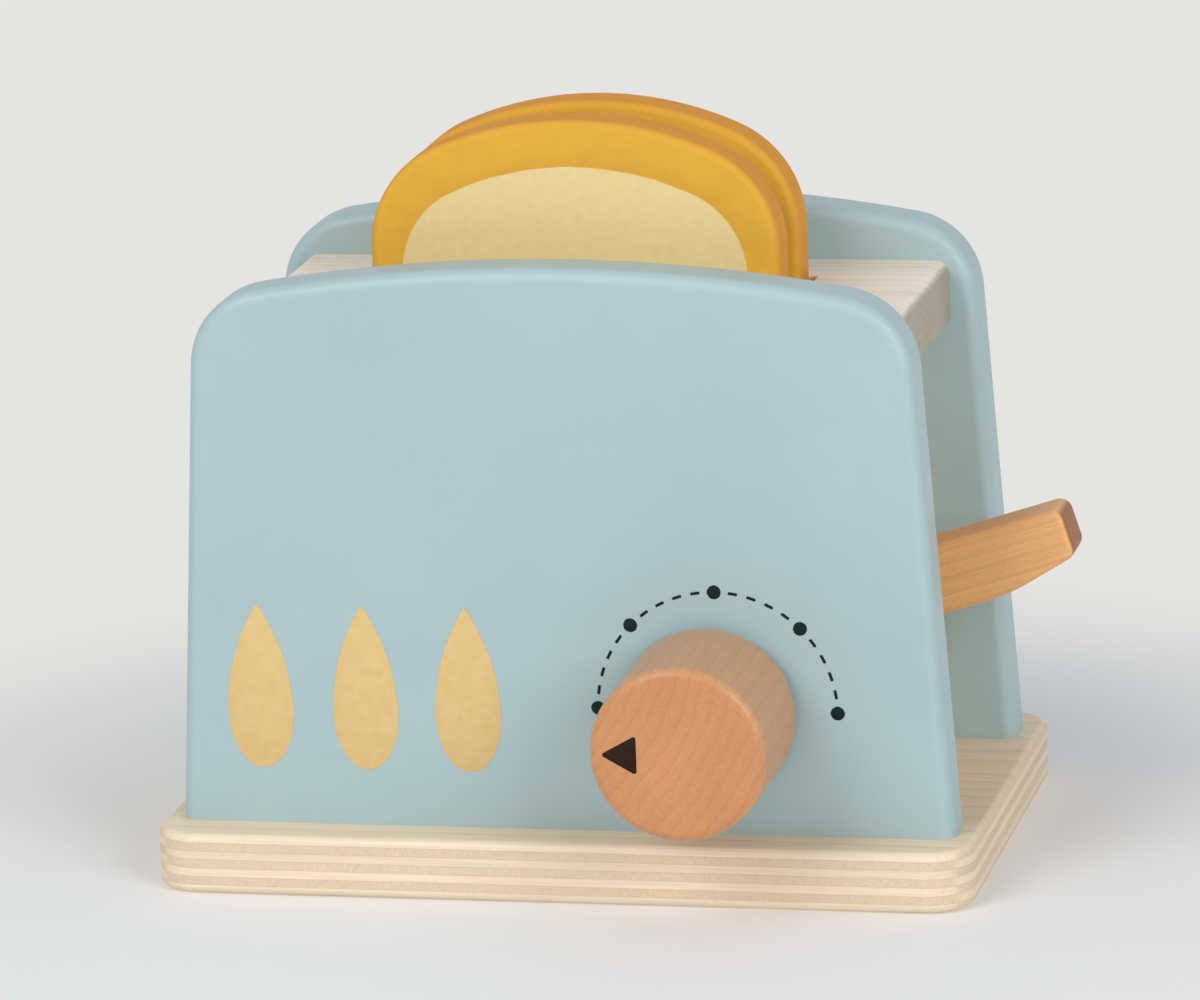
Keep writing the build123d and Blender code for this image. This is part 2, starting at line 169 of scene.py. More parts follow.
def facing(tree: Tree, turn: Triple) -> Node:
    """Tells how squarely the surface faces along each axis, either way.

    Args:
        tree: Node tree to add to.
        turn: Euler turn of the axes, in radians.

    Returns:
        A node with X, Y and Z outputs from 0 to 1.
    """
    add = partial(add_node, tree)
    normal = add("TexCoord").outputs["Normal"]
    turned = add("Mapping", {"Vector": normal, "Rotation": turn}, vector_type="NORMAL")
    either_way = add("VectorMath", {0: turned}, operation="ABSOLUTE")
    return add("SeparateXYZ", {0: either_way})


def plain_rays(tree: Tree) -> Node:
    """Tells which rays find the plain background: those from the camera, metal and glass.

    Args:
        tree: Node tree to add to.

    Returns:
        A node that gives 1 for such rays and 0 for the rest.
    """
    add = partial(add_node, tree)
    rays = add("LightPath").outputs
    seen = add("Math", {0: rays["Is Camera Ray"], 1: rays["Is Glossy Ray"]}, operation="MAXIMUM")
    return add("Math", {0: seen, 1: rays["Is Transmission Ray"]}, operation="MAXIMUM")


def set_surface(tree: Tree, values: dict, height: Node, strength: float, depth: float) -> None:
    """Sets a material's own shader, with a fine relief that catches the light.

    Args:
        tree: The material's node tree.
        values: Shader input, to its value or to the node or output that it is linked to.
        height: Node with the relief.
        strength: How strongly the relief shows.
        depth: How deep it is, in metres.
    """
    bump = add_node(tree, "Bump", {"Height": height, "Strength": strength, "Distance": depth})
    set_inputs(tree, tree.nodes["Principled BSDF"], {**values, "Normal": bump})


# --- Materials ---


@dataclass(frozen=True)
class Finish:
    """A real material. Pattern sizes are in millimetres."""

    title: str

    def material(self) -> bpy.types.Material:
        """Makes the material.

        Returns:
            The material, with the finish's nodes in it.
        """
        material = bpy.data.materials.new(self.title)
        material.use_nodes = True
        self.add_pattern(material.node_tree)
        return material

    def add_pattern(self, tree: Tree) -> None:
        """Adds the finish's nodes, for subclasses to fill in.

        Args:
            tree: The material's node tree.
        """
        raise NotImplementedError


@dataclass(frozen=True)
class SolidWood(Finish):
    """Sawn or turned wood, sanded and clear varnished.

    Rings cut lengthwise give long soft lines, and cut across they give arcs. Fine fibres and short
    brown flecks keep it from looking like plain paint, and they catch the light unevenly.
    End grain drinks the varnish and looks darker and warmer than the sides; the end tone can also carry
    painted shade, as on the top plate's ends. The pith is where the rings have their middle, and what is
    drawn out is that many times as long as it is wide.
    """

    early: str
    late: str
    grain: Grain
    pith: tuple[float, float]
    ring_mm: float
    ring_show: float
    fleck_show: float
    ring_drawn_out: float = 16.0
    broad_mm: float = 18.0
    fibre_mm: float = 0.55
    fibre_drawn_out: float = 55.0
    fleck_mm: float = 0.17
    fleck_drawn_out: float = 7.0
    end_grain_and_shade_tone: str = "#E6D3BE"
    varnish: float = 0.0
    varnish_roughness: float = 0.35
    roughness: float = 0.46

    def add_pattern(self, tree: Tree) -> None:
        """Adds the rings, fibres and flecks.

        Args:
            tree: The material's node tree.
        """
        add = partial(add_node, tree)
        place = place_in_mm(tree, self.grain.value, (NOISE_START[0], *self.pith))
        stretch = (1 / self.ring_drawn_out, 1.0, 1.0)
        drawn_out = add("VectorMath", {0: place, 1: stretch}, operation="MULTIPLY")
        rings = add(
            "TexWave",
            {
                "Vector": drawn_out, "Scale": WAVE_PERIOD / self.ring_mm, "Distortion": 5.0, "Detail": 2.5,
                "Detail Scale": 0.55, "Detail Roughness": 0.45,
            },
            wave_type="RINGS", rings_direction="X", wave_profile="SAW",
        )
        ring_stops = ((0.0, "#FFFFFF"), (0.55, "#EBEBEB"), (0.9, "#000000"), (1.0, "#FFFFFF"))
        ring_tone = add("ValToRGB", {"Fac": rings.outputs["Fac"]}, ring_stops)
        ring_amount = add("Math", {0: ring_tone, 1: self.ring_show}, operation="MULTIPLY")
        rest = add("Math", {0: ring_amount, 1: 1.0 - self.ring_show}, operation="ADD")
        ringed = add("Mix", {0: rest, 6: linear(self.late), 7: linear(self.early)}, data_type="RGBA")
        # broad tone changes, as between heart and sapwood
        broad = add("TexNoise", {"Vector": drawn_out, "Scale": 1 / self.broad_mm, "Detail": 2.0})
        broad_tone = add("MapRange", {"Value": broad, **NOISE_RANGE, "To Min": 0.93, "To Max": 1.05})
        # real fibres are finer than these, and would not show
        stretch = (1 / self.fibre_drawn_out, 1.0, 1.0)
        long_way = add("VectorMath", {0: place, 1: stretch}, operation="MULTIPLY")
        fibres = add(
            "TexNoise", {"Vector": long_way, "Scale": 1 / self.fibre_mm, "Detail": 3.0, "Roughness": 0.6}
        )
        fibre_tone = add("MapRange", {"Value": fibres, **NOISE_RANGE, "To Min": 0.92, "To Max": 1.05})
        toned = add("Math", {0: broad_tone, 1: fibre_tone}, operation="MULTIPLY")
        shaded = add("VectorMath", {0: ringed, "Scale": toned}, operation="SCALE")
        # flecks over a millimetre long and about a sixth of that wide
        stretch = (1 / self.fleck_drawn_out, 1.0, 1.0)
        short_way = add("VectorMath", {0: place, 1: stretch}, operation="MULTIPLY")
        specks = add("TexNoise", {"Vector": short_way, "Scale": 1 / self.fleck_mm, "Detail": 0.0})
        fleck = add(
            "MapRange", {"Value": specks, "From Min": 0.64, "From Max": 0.74, "To Max": self.fleck_show}
        )
        flecked = add(
            "Mix", {0: fleck, 6: shaded, 7: linear(self.late)}, data_type="RGBA", blend_type="MULTIPLY"
        )
        # end faces take the end tone: darker end grain on every part, and painted shade as well on the top
        # plate's ends
        along_grain = facing(tree, self.grain.value).outputs["X"]
        end_on = add("MapRange", {"Value": along_grain, "From Min": 0.6, "From Max": 0.9})
        end_grain_and_shade_tone = linear(self.end_grain_and_shade_tone)
        end_grain_and_shade_toned = add("Mix", {0: end_on, 6: flecked, 7: end_grain_and_shade_tone}, data_type="RGBA", blend_type="MULTIPLY")
        smooth, rough = self.roughness - 0.05, self.roughness + 0.08
        sheen = add("MapRange", {"Value": fibres, **NOISE_RANGE, "To Min": smooth, "To Max": rough})
        relief = add("Math", {0: fibres, 1: fleck}, operation="SUBTRACT")
        coat = {"Coat Weight": self.varnish, "Coat Roughness": self.varnish_roughness}
        values = {"Base Color": end_grain_and_shade_toned, "Roughness": sheen, **coat}
        set_surface(tree, values, relief, strength=0.5, depth=0.05 * MM)


@dataclass(frozen=True)
class BirchPlywood(Finish):
    """Birch plywood, sanded and matt varnished.

    The edges show the plies: pale where their fibres run along the edge, tan where they end in it,
    with thin glue lines between. The faces show rotary-cut veneer.
    """

    layup: Layup
    foot_mm: float
    board_mm: float
    plies: int
    pale: str = "#F0DCC0"
    tan: str = "#E3CBAC"
    figure_mm: float = 7.0
    figure_drawn_out: float = 9.0
    fibre_mm: float = 0.5
    fibre_drawn_out: float = 45.0
    roughness: float = 0.52

    def add_pattern(self, tree: Tree) -> None:
        """Adds the plies, glue lines, veneer figure and fibres.

        Args:
            tree: The material's node tree.
        """
        add = partial(add_node, tree)
        place = place_in_mm(tree, self.layup.value, (*NOISE_START, -self.foot_mm))
        up = add("SeparateXYZ", {0: place}).outputs["Z"]
        # counts plies from the foot, a hair more, so that a face lies inside its ply
        counted = {0: up, 1: self.plies / self.board_mm, 2: 0.004}
        height = add("Math", counted, operation="MULTIPLY_ADD")
        floor = add("Math", {0: height}, operation="FLOOR")
        ply = add("Math", {0: floor, 1: self.plies - 1.0}, operation="MINIMUM")
        crossed = add("Math", {0: ply, 1: 2.0}, operation="MODULO")
        # which way the surface faces, so that each ply shows its side or its end
        sides = facing(tree, self.layup.value).outputs
        end_on = add("Math", {0: sides["X"], 1: sides["Y"]}, operation="SUBTRACT")
        end_range = {"From Min": -0.25, "From Max": 0.25}
        end_mask = add("MapRange", {"Value": end_on, **end_range}, interpolation_type="SMOOTHSTEP")
        edge_range = {"From Min": 0.55, "From Max": 0.95, "To Min": 1.0, "To Max": 0.0}
        edge_mask = add("MapRange", {"Value": sides["Z"], **edge_range})
        end_here = add("Math", {0: end_mask, 1: edge_mask}, operation="MULTIPLY")
        change = add("Math", {0: crossed, 1: end_here}, operation="SUBTRACT")
        end_grain = add("Math", {0: change}, operation="ABSOLUTE")
        ply_tone = add("TexWhiteNoise", {"W": ply}, noise_dimensions="1D")
        ply_level = add("MapRange", {"Value": ply_tone, "To Min": 0.97, "To Max": 1.02})
        plain = add("Mix", {0: end_grain, 6: linear(self.pale), 7: linear(self.tan)}, data_type="RGBA")
        # rotary-cut figure: wide, wandering, low-contrast bands
        stretch = (1 / self.figure_drawn_out, 1.0, 0.35)
        along = add("VectorMath", {0: place, 1: stretch}, operation="MULTIPLY")
        figure = add(
            "TexWave",
            {
                "Vector": along, "Scale": WAVE_PERIOD / self.figure_mm, "Distortion": 9.0, "Detail": 2.0,
                "Detail Scale": 0.7, "Detail Roughness": 0.5,
            },
            wave_type="BANDS", bands_direction="Y", wave_profile="SAW",
        )
        figure_stops = ((0.0, "#FFFFFF"), (0.6, "#F6F0E6"), (0.92, "#E4D4BB"), (1.0, "#FFFFFF"))
        figure_tone = add("ValToRGB", {"Fac": figure.outputs["Fac"]}, figure_stops)
        figure_show = add("MapRange", {"Value": edge_mask, "To Min": 0.4, "To Max": 0.05})
        figured = add(
            "Mix", {0: figure_show, 6: plain, 7: figure_tone}, data_type="RGBA", blend_type="MULTIPLY"
        )
        # fibres, along X in the face plies and along Y in the crossed ones
        shrink = 1 / self.fibre_drawn_out
        long_x = add("VectorMath", {0: place, 1: (shrink, 1.0, 1.0)}, operation="MULTIPLY")
        long_y = add("VectorMath", {0: place, 1: (1.0, shrink, 1.0)}, operation="MULTIPLY")
        way = add("Mix", {0: crossed, 4: long_x, 5: long_y}, data_type="VECTOR")
        fibres = add(
            "TexNoise", {"Vector": way, "Scale": 1 / self.fibre_mm, "Detail": 3.0, "Roughness": 0.62}
        )
        fibre_tone = add("MapRange", {"Value": fibres, **NOISE_RANGE, "To Min": 0.9, "To Max": 1.05})
        # glue lines, a tenth of a ply, seen on the edges only
        share = add("Math", {0: height}, operation="FRACT")
        from_glue = add("Math", {0: share, 1: 0.5}, operation="SUBTRACT")
        near_glue = add("Math", {0: from_glue}, operation="ABSOLUTE")
        glue = add("MapRange", {"Value": near_glue, "From Min": 0.42, "From Max": 0.49, "To Max": 0.15})
        glue_here = add("Math", {0: glue, 1: edge_mask}, operation="MULTIPLY")
        glued = add("Math", {0: 1.0, 1: glue_here}, operation="SUBTRACT")
        level = add("Math", {0: ply_level, 1: fibre_tone}, operation="MULTIPLY")
        level_all = add("Math", {0: level, 1: glued}, operation="MULTIPLY")
        shaded = add("VectorMath", {0: figured, "Scale": level_all}, operation="SCALE")
        smooth, rough = self.roughness, self.roughness + 0.14
        sheen = add("MapRange", {"Value": end_grain, "To Min": smooth, "To Max": rough})
        relief = add("Math", {0: fibres, 1: glue_here}, operation="SUBTRACT")
        values = {"Base Color": shaded, "Roughness": sheen}
        set_surface(tree, values, relief, strength=0.55, depth=0.06 * MM)


@dataclass(frozen=True)
class SatinPaint(Finish):
    """Water-based satin paint, sprayed on sanded board.

    A fine stipple breaks up the highlights, the board's grain shows through as a faint relief,
    and the tone wanders by a percent or two, so a large face doesn't look like plastic.
    """

    colour: str
    deeper: str
    grain: Grain = Grain.ALONG_X
    cloud_mm: float = 28.0
    grain_mm: float = 1.1
    grain_drawn_out: float = 30.0
    stipple_mm: float = 0.7
    roughness: float = 0.42

    def add_pattern(self, tree: Tree) -> None:
        """Adds the stipple, the faint grain and the wandering tone.

        Args:
            tree: The material's node tree.
        """
        add = partial(add_node, tree)
        place = place_in_mm(tree, self.grain.value, (*NOISE_START, NOISE_START[0]))
        cloud = add("TexNoise", {"Vector": place, "Scale": 1 / self.cloud_mm, "Detail": 3.0})
        stretch = (1 / self.grain_drawn_out, 1.0, 1.0)
        long_way = add("VectorMath", {0: place, 1: stretch}, operation="MULTIPLY")
        grain = add(
            "TexNoise", {"Vector": long_way, "Scale": 1 / self.grain_mm, "Detail": 3.0, "Roughness": 0.55}
        )
        stipple = add(
            "TexNoise", {"Vector": place, "Scale": 1 / self.stipple_mm, "Detail": 2.0, "Roughness": 0.6}
        )
        mixed = add("Math", {0: grain, 1: 0.1, 2: cloud}, operation="MULTIPLY_ADD")
        tone = add("MapRange", {"Value": mixed, "From Min": 0.35, "From Max": 0.75})
        colour = add("Mix", {0: tone, 6: linear(self.colour), 7: linear(self.deeper)}, data_type="RGBA")
        smooth, rough = self.roughness - 0.04, self.roughness + 0.06
        sheen = add("MapRange", {"Value": stipple, **NOISE_RANGE, "To Min": smooth, "To Max": rough})
        relief = add("Math", {0: grain, 1: 0.3, 2: stipple}, operation="MULTIPLY_ADD")
        values = {"Base Color": colour, "Roughness": sheen}
        set_surface(tree, values, relief, strength=0.35, depth=0.035 * MM)


@dataclass(frozen=True)
class CrustPaint(Finish):
    """Amber paint on a wooden slice, darker brown round its edge, as baked crust.

    The colour deepens from the face to the edge and a little at both rims of the band, so that
    the slice looks toasted and not dipped.
    """

    middle_y_mm: float
    half_thickness_mm: float
    half_width_mm: float
    crown_radius_mm: float
    crown_centre_z_mm: float
    rim: str = "#E09A3C"
    outer: str = "#DDA03C"
    band: str = "#E2AC3E"
    inner: str = "#D9A03C"
    eased_mm: float = 9.0
    wander_mm: float = 3.0
    pale_from_mm: float = -10.5
    dark_from_mm: float = 2.5
    rim_mm: float = 1.7
    blotch_mm: float = 7.0
    stipple_mm: float = 0.6
    roughness: float = 0.6
    gloss: float = 0.1

    def add_pattern(self, tree: Tree) -> None:
        """Adds the crust, toned by how far a point is from the slice's outline.

        Args:
            tree: The material's node tree.
        """
        add = partial(add_node, tree)
        place = place_in_mm(tree, move=(0.0, -self.middle_y_mm, -self.crown_centre_z_mm))
        axes = add("SeparateXYZ", {0: place}).outputs
        across = add("Math", {0: axes["X"]}, operation="ABSOLUTE")
        side = add("Math", {0: across, 1: self.half_width_mm}, operation="SUBTRACT")
        flat = add("VectorMath", {0: place, 1: (1.0, 0.0, 1.0)}, operation="MULTIPLY")
        from_centre = add("VectorMath", {0: flat}, operation="LENGTH")
        crown = add("Math", {0: from_centre, 1: self.crown_radius_mm}, operation="SUBTRACT")
        # millimetres outside the outline, eased where the sides meet the crown, and stirred a little
        outline = add("Math", {0: side, 1: crown, 2: self.eased_mm}, operation="SMOOTH_MAX")
        wander = add(
            "TexNoise", {"Vector": place, "Scale": 1 / self.blotch_mm, "Detail": 3.0, "Roughness": 0.55}
        )
        wandering = add("Math", {0: wander, 1: self.wander_mm, 2: outline}, operation="MULTIPLY_ADD")
        band_range = {"From Min": self.pale_from_mm, "From Max": self.dark_from_mm}
        outwards = add("MapRange", {"Value": wandering, **band_range})
        band_stops = ((0.0, self.inner), (0.45, self.band), (0.78, self.band), (1.0, self.outer))
        band = add("ValToRGB", {"Fac": outwards}, band_stops)
        depth = add("Math", {0: axes["Y"]}, operation="ABSOLUTE")
        rim_start, rim_end = self.half_thickness_mm - self.rim_mm, self.half_thickness_mm - 0.05
        rim_range = {"From Min": rim_start, "From Max": rim_end, "To Min": 1.0, "To Max": 0.0}
        to_edge = add("MapRange", {"Value": depth, **rim_range}, interpolation_type="SMOOTHSTEP")
        colour = add("Mix", {0: to_edge, 6: band, 7: linear(self.rim)}, data_type="RGBA")
        blotch = add("MapRange", {"Value": wander, **NOISE_RANGE, "To Min": 0.95, "To Max": 1.04})
        shaded = add("VectorMath", {0: colour, "Scale": blotch}, operation="SCALE")
        stipple = add(
            "TexNoise", {"Vector": place, "Scale": 1 / self.stipple_mm, "Detail": 3.0, "Roughness": 0.6}
        )
        smooth, rough = self.roughness - 0.04, self.roughness + 0.08
        sheen = add("MapRange", {"Value": stipple, **NOISE_RANGE, "To Min": smooth, "To Max": rough})
        values = {"Base Color": shaded, "Roughness": sheen, "Specular IOR Level": self.gloss}
        set_surface(tree, values, stipple, strength=0.4, depth=0.05 * MM)


@dataclass(frozen=True)
class PrintedFilm(Finish):
    """Ink or paint laid on thin through a screen.

    It has a slightly uneven body of colour, with pinholes too small to count, and a matt skin.
    """

    colour: str
    lighter: str
    mottle_mm: float
    roughness: float
    gloss: float = 0.5

    def add_pattern(self, tree: Tree) -> None:
        """Adds the mottle and the fine skin.

        Args:
            tree: The material's node tree.
        """
        add = partial(add_node, tree)
        place = place_in_mm(tree)
        mottle = add(
            "TexNoise", {"Vector": place, "Scale": 1 / self.mottle_mm, "Detail": 4.0, "Roughness": 0.65}
        )
        amount = add("MapRange", {"Value": mottle, "From Min": 0.32, "From Max": 0.7})
        colour = add("Mix", {0: amount, 6: linear(self.colour), 7: linear(self.lighter)}, data_type="RGBA")
        smooth, rough = self.roughness - 0.08, self.roughness + 0.08
        sheen = add("MapRange", {"Value": mottle, "To Min": smooth, "To Max": rough})
        values = {"Base Color": colour, "Roughness": sheen, "Specular IOR Level": self.gloss}
        set_surface(tree, values, mottle, strength=0.3, depth=0.03 * MM)


@dataclass(frozen=True)
class WoolFelt(Finish):
    """Pressed wool felt: matted fibres with a soft pile that lightens towards the edge of sight."""

    colour: str = "#B9A888"
    shadow: str = "#8F8068"
    fibre_mm: float = 0.45

    def add_pattern(self, tree: Tree) -> None:
        """Adds the matted fibres and the pile.

        Args:
            tree: The material's node tree.
        """
        add = partial(add_node, tree)
        place = place_in_mm(tree)
        matting = {"Scale": 1 / self.fibre_mm, "Detail": 5.0, "Roughness": 0.7, "Distortion": 1.6}
        matted = add("TexNoise", {"Vector": place, **matting})
        colour = add("ValToRGB", {"Fac": matted}, ((0.3, self.shadow), (0.68, self.colour)))
        pile = {"Roughness": 0.95, "Sheen Weight": 0.5, "Sheen Roughness": 0.6}
        set_surface(tree, {"Base Color": colour, **pile}, matted, strength=0.9, depth=0.2 * MM)


@dataclass(frozen=True)
class ZincPlate(Finish):
    """Bright zinc plate on a steel screw: pale metal, blurred by the tumbling it got."""

    colour: str = "#C3C6C9"
    dull: str = "#9EA1A5"
    dent_mm: float = 0.3

    def add_pattern(self, tree: Tree) -> None:
        """Adds the tumbled surface.

        Args:
            tree: The material's node tree.
        """
        add = partial(add_node, tree)
        place = place_in_mm(tree)
        tumbled = add(
            "TexNoise", {"Vector": place, "Scale": 1 / self.dent_mm, "Detail": 4.0, "Roughness": 0.6}
        )
        colour = add("ValToRGB", {"Fac": tumbled}, ((0.3, self.dull), (0.65, self.colour)))
        sheen = add("MapRange", {"Value": tumbled, "To Min": 0.22, "To Max": 0.46})
        values = {"Base Color": colour, "Roughness": sheen, "Metallic": 1.0}
        set_surface(tree, values, tumbled, strength=0.3, depth=0.02 * MM)


@dataclass(frozen=True)
class StudioPaper(Finish):
    """Matt pale paper under the object, which keeps its shadow and fades into the plain background."""

    background: str
    colour: str = "#F4F3F1"
    roughness: float = 0.9
    gloss: float = 0.1
    fade_start: float = 0.10
    fade_end: float = 0.23
    underside_glow_reach: float = 2.0 * MM

    def add_pattern(self, tree: Tree) -> None:
        """Makes the paper lit near the object, plain background further out, clear from below, and glowing
        close under the base as painted light on its underside.

        Args:
            tree: The material's node tree.
        """
        add = partial(add_node, tree)
        shader = tree.nodes["Principled BSDF"]
        skin = {"Roughness": self.roughness, "Specular IOR Level": self.gloss}
        set_inputs(tree, shader, {"Base Color": linear(self.colour), **skin})
        place = add("TexCoord").outputs["Object"]
        distance = add("VectorMath", {0: place}, operation="LENGTH")
        fade_range = {"From Min": self.fade_start, "From Max": self.fade_end}
        fade = add("MapRange", {"Value": distance, **fade_range}, interpolation_type="SMOOTHSTEP")
        faded = add("Math", {0: plain_rays(tree), 1: fade}, operation="MULTIPLY")
        # painted light: within this reach, bounces from the underside that hit the paper get the background
        # colour as emission, so the paper glows and lights the underside
        rays = add("LightPath").outputs
        close = add("Math", {0: rays["Ray Length"], 1: self.underside_glow_reach}, operation="LESS_THAN")
        bounces = {0: rays["Is Diffuse Ray"], 1: rays["Is Glossy Ray"]}
        bounced = add("Math", bounces, operation="MAXIMUM")
        under = add("Math", {0: close, 1: bounced}, operation="MULTIPLY")
        amount = add("Math", {0: faded, 1: under}, operation="MAXIMUM")
        glow = add("Emission", {"Color": linear(self.background), "Strength": 1.0})
        paper = add("MixShader", {0: amount, 1: shader, 2: glow})
        below = add("NewGeometry").outputs["Backfacing"]
        both = add("MixShader", {0: below, 1: paper, 2: add("BsdfTransparent")})
        set_inputs(tree, tree.nodes["Material Output"], {"Surface": both})


# --- Outlines and thin layers ---


def deselect_all() -> None:
    """Leaves object mode with nothing selected."""
    if bpy.context.mode != "OBJECT":
        bpy.ops.object.mode_set(mode="OBJECT")
    bpy.ops.object.select_all(action="DESELECT")


def select_only(pieces: Iterable[Piece]) -> None:
    """Selects pieces and nothing else, with the first of them active.

    Args:
        pieces: The pieces.
    """
    deselect_all()
    for number, piece in enumerate(pieces):
        piece.select_set(True)
        if number == 0:
            bpy.context.view_layer.objects.active = piece


@dataclass(frozen=True)
class Bow:
    """A bulging stretch of an outline in the XZ plane: part of an ellipse, in metres and degrees."""

    centre: tuple[float, float]
    radii: tuple[float, float]
    start: float
    end: float
    cuts: int

    def tangents(self) -> Iterator[tuple[Vector, Vector]]:
        """Yields points along the stretch, each with its outward normal."""
        wide, tall = self.radii
        for step in range(self.cuts + 1):
            angle = math.radians(self.start + (self.end - self.start) * step / self.cuts)
            right, up = math.cos(angle), math.sin(angle)
            point = Vector((self.centre[0] + wide * right, 0.0, self.centre[1] + tall * up))
            yield point, Vector((right / wide, 0.0, up / tall)).normalized()


def rounded_corners(corners: list[tuple[float, float]], radius: float, cuts: int = 6) -> list[Bow]:
    """Rounds the corners of a convex outline.

    Args:
        corners: Corners in X and Z, anticlockwise as seen from the front.
        radius: Corner radius.
        cuts: Cuts at each corner.

    Returns:
        One stretch for each corner. The straight sides lie between them.
    """
    bows = []
    for number, corner in enumerate(corners):
        before = Vector(corner) - Vector(corners[number - 1])
        after = Vector(corners[(number + 1) % len(corners)]) - Vector(corner)
        first = Vector((before.y, -before.x)).normalized()
        second = Vector((after.y, -after.x)).normalized()
        centre = Vector(corner) - (first + second) * (radius / (1 + first.dot(second)))
        start = math.degrees(math.atan2(first.y, first.x))
        turn = (math.degrees(math.atan2(second.y, second.x)) - start) % 360
        bows.append(Bow(tuple(centre), (radius, radius), start, start + turn, cuts))
    return bows


@dataclass(frozen=True)
class ThinLayer:
    """Ink or paint laid on an upright face that looks towards -Y, with a softened rim."""

    height: float = 0.08 * MM
    sunk: float = 0.05 * MM
    rim: float = 0.05 * MM
    rim_segments: int = 2

    def carve(self, bows: Iterable[Bow], blank: float, middle: tuple[float, float], face_y: float) -> Piece:
        """Cuts a blank down to an outline and raises it off the face.

        Args:
            bows: Stretches that bound the outline.
            blank: Side of the square blank, with room to spare round the outline.
            middle: Middle of the blank in X and Z.
            face_y: Y of the face that it lies on.

        Returns:
            The layer, with its place in its mesh.
        """
        deselect_all()
        place = (middle[0], face_y + self.sunk, middle[1])
        bpy.ops.mesh.primitive_plane_add(size=blank, location=place, rotation=(math.pi / 2, 0.0, 0.0))
        layer = bpy.context.active_object
        bpy.ops.object.mode_set(mode="EDIT")
        for bow in bows:
            for point, normal in bow.tangents():
                bpy.ops.mesh.select_all(action="SELECT")
                bpy.ops.mesh.bisect(plane_co=point, plane_no=normal, clear_outer=True)
        self.raise_outline()
        bpy.ops.object.mode_set(mode="OBJECT")
        bpy.ops.object.transform_apply(location=True, rotation=True, scale=True)
        return layer

    def raise_outline(self) -> None:
        """Extrudes the flat outline in edit mode towards -Y and softens its front rim."""
        bpy.ops.mesh.select_all(action="SELECT")
        forwards = (0.0, -self.sunk - self.height, 0.0)
        bpy.ops.mesh.extrude_region_move(TRANSFORM_OT_translate={"value": forwards})
        bpy.ops.mesh.region_to_loop()
        bpy.ops.mesh.bevel(offset=self.rim, segments=self.rim_segments, affect="EDGES")
        bpy.ops.mesh.select_all(action="SELECT")
        bpy.ops.mesh.normals_make_consistent(inside=False)


def copied(piece: Piece, change: Matrix) -> Piece:
    """Copies a piece with its own mesh, moved within that mesh.

    Args:
        piece: Piece to copy.
        change: Move in the row frame.

    Returns:
        The copy.
    """
    select_only([piece])
    bpy.ops.object.duplicate(linked=False)
    copy = bpy.context.active_object
    copy.matrix_world = change @ copy.matrix_world
    bpy.ops.object.transform_apply(location=True, rotation=True, scale=True)
    return copy


def joined(pieces: list[Piece], name: str) -> Piece:
    """Joins pieces into one.

    Args:
        pieces: Pieces to join, which the first one takes in.
        name: Name of the result.

    Returns:
        The joined piece.
    """
    select_only(pieces)
    if len(pieces) > 1:
        bpy.ops.object.join()
    pieces[0].name = name
    pieces[0].data.name = name
    return pieces[0]


def finished(piece: Piece, material: bpy.types.Material, body: str) -> None:
    """Gives a new piece its material, shading and body, and logs it.

    Args:
        piece: The piece.
        material: Its material.
        body: CAD body that it moves with.
    """
    select_only([piece])
    bpy.ops.object.shade_smooth_by_angle(angle=SMOOTH_BELOW)
    piece.data.materials.clear()
    piece.data.materials.append(material)
    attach(piece, body)
    LOG.info("piece %s on %s: %d faces", piece.name, body, len(piece.data.polygons))


def dress(nodes: Iterable[str], finish: Finish) -> None:
    """Puts one finish on CAD nodes, leaving their meshes alone.

    Args:
        nodes: Names of the nodes.
        finish: Their finish.
    """
    material = finish.material()
    for name in nodes:
        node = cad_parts[name]
        if not node.material_slots:
            node.data.materials.append(material)
        for slot in node.material_slots:
            slot.material = material
        LOG.info("node %s in %s", name, finish.title)


# --- Sub-assemblies ---


@dataclass(frozen=True)
class Extent:
    """The box round a CAD node."""

    low: Vector
    high: Vector

    @classmethod
    def of(cls, node: str) -> "Extent":
        """Takes the box of a CAD node from the frame."""
        return cls(*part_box(node))

    @property
    def size(self) -> Vector:
        """Size of the box."""
        return self.high - self.low

    @property
    def middle(self) -> Vector:
        """Middle of the box."""
        return (self.low + self.high) / 2


@dataclass
class BaseBoard:
    """The plywood board that everything stands on, and the screws up through it."""

    board: Extent
    plies: int = 7

    def dress(self) -> None:
        """Dresses the board and its screws."""
        foot, thickness = self.board.low.z / MM, self.board.size.z / MM
        plywood = BirchPlywood("birch_plywood_base", Layup.STACKED_Z, foot, thickness, self.plies)
        dress(["base_board"], plywood)
        dress(["base_screws", "knob_screw"], ZincPlate("zinc_plated_steel"))


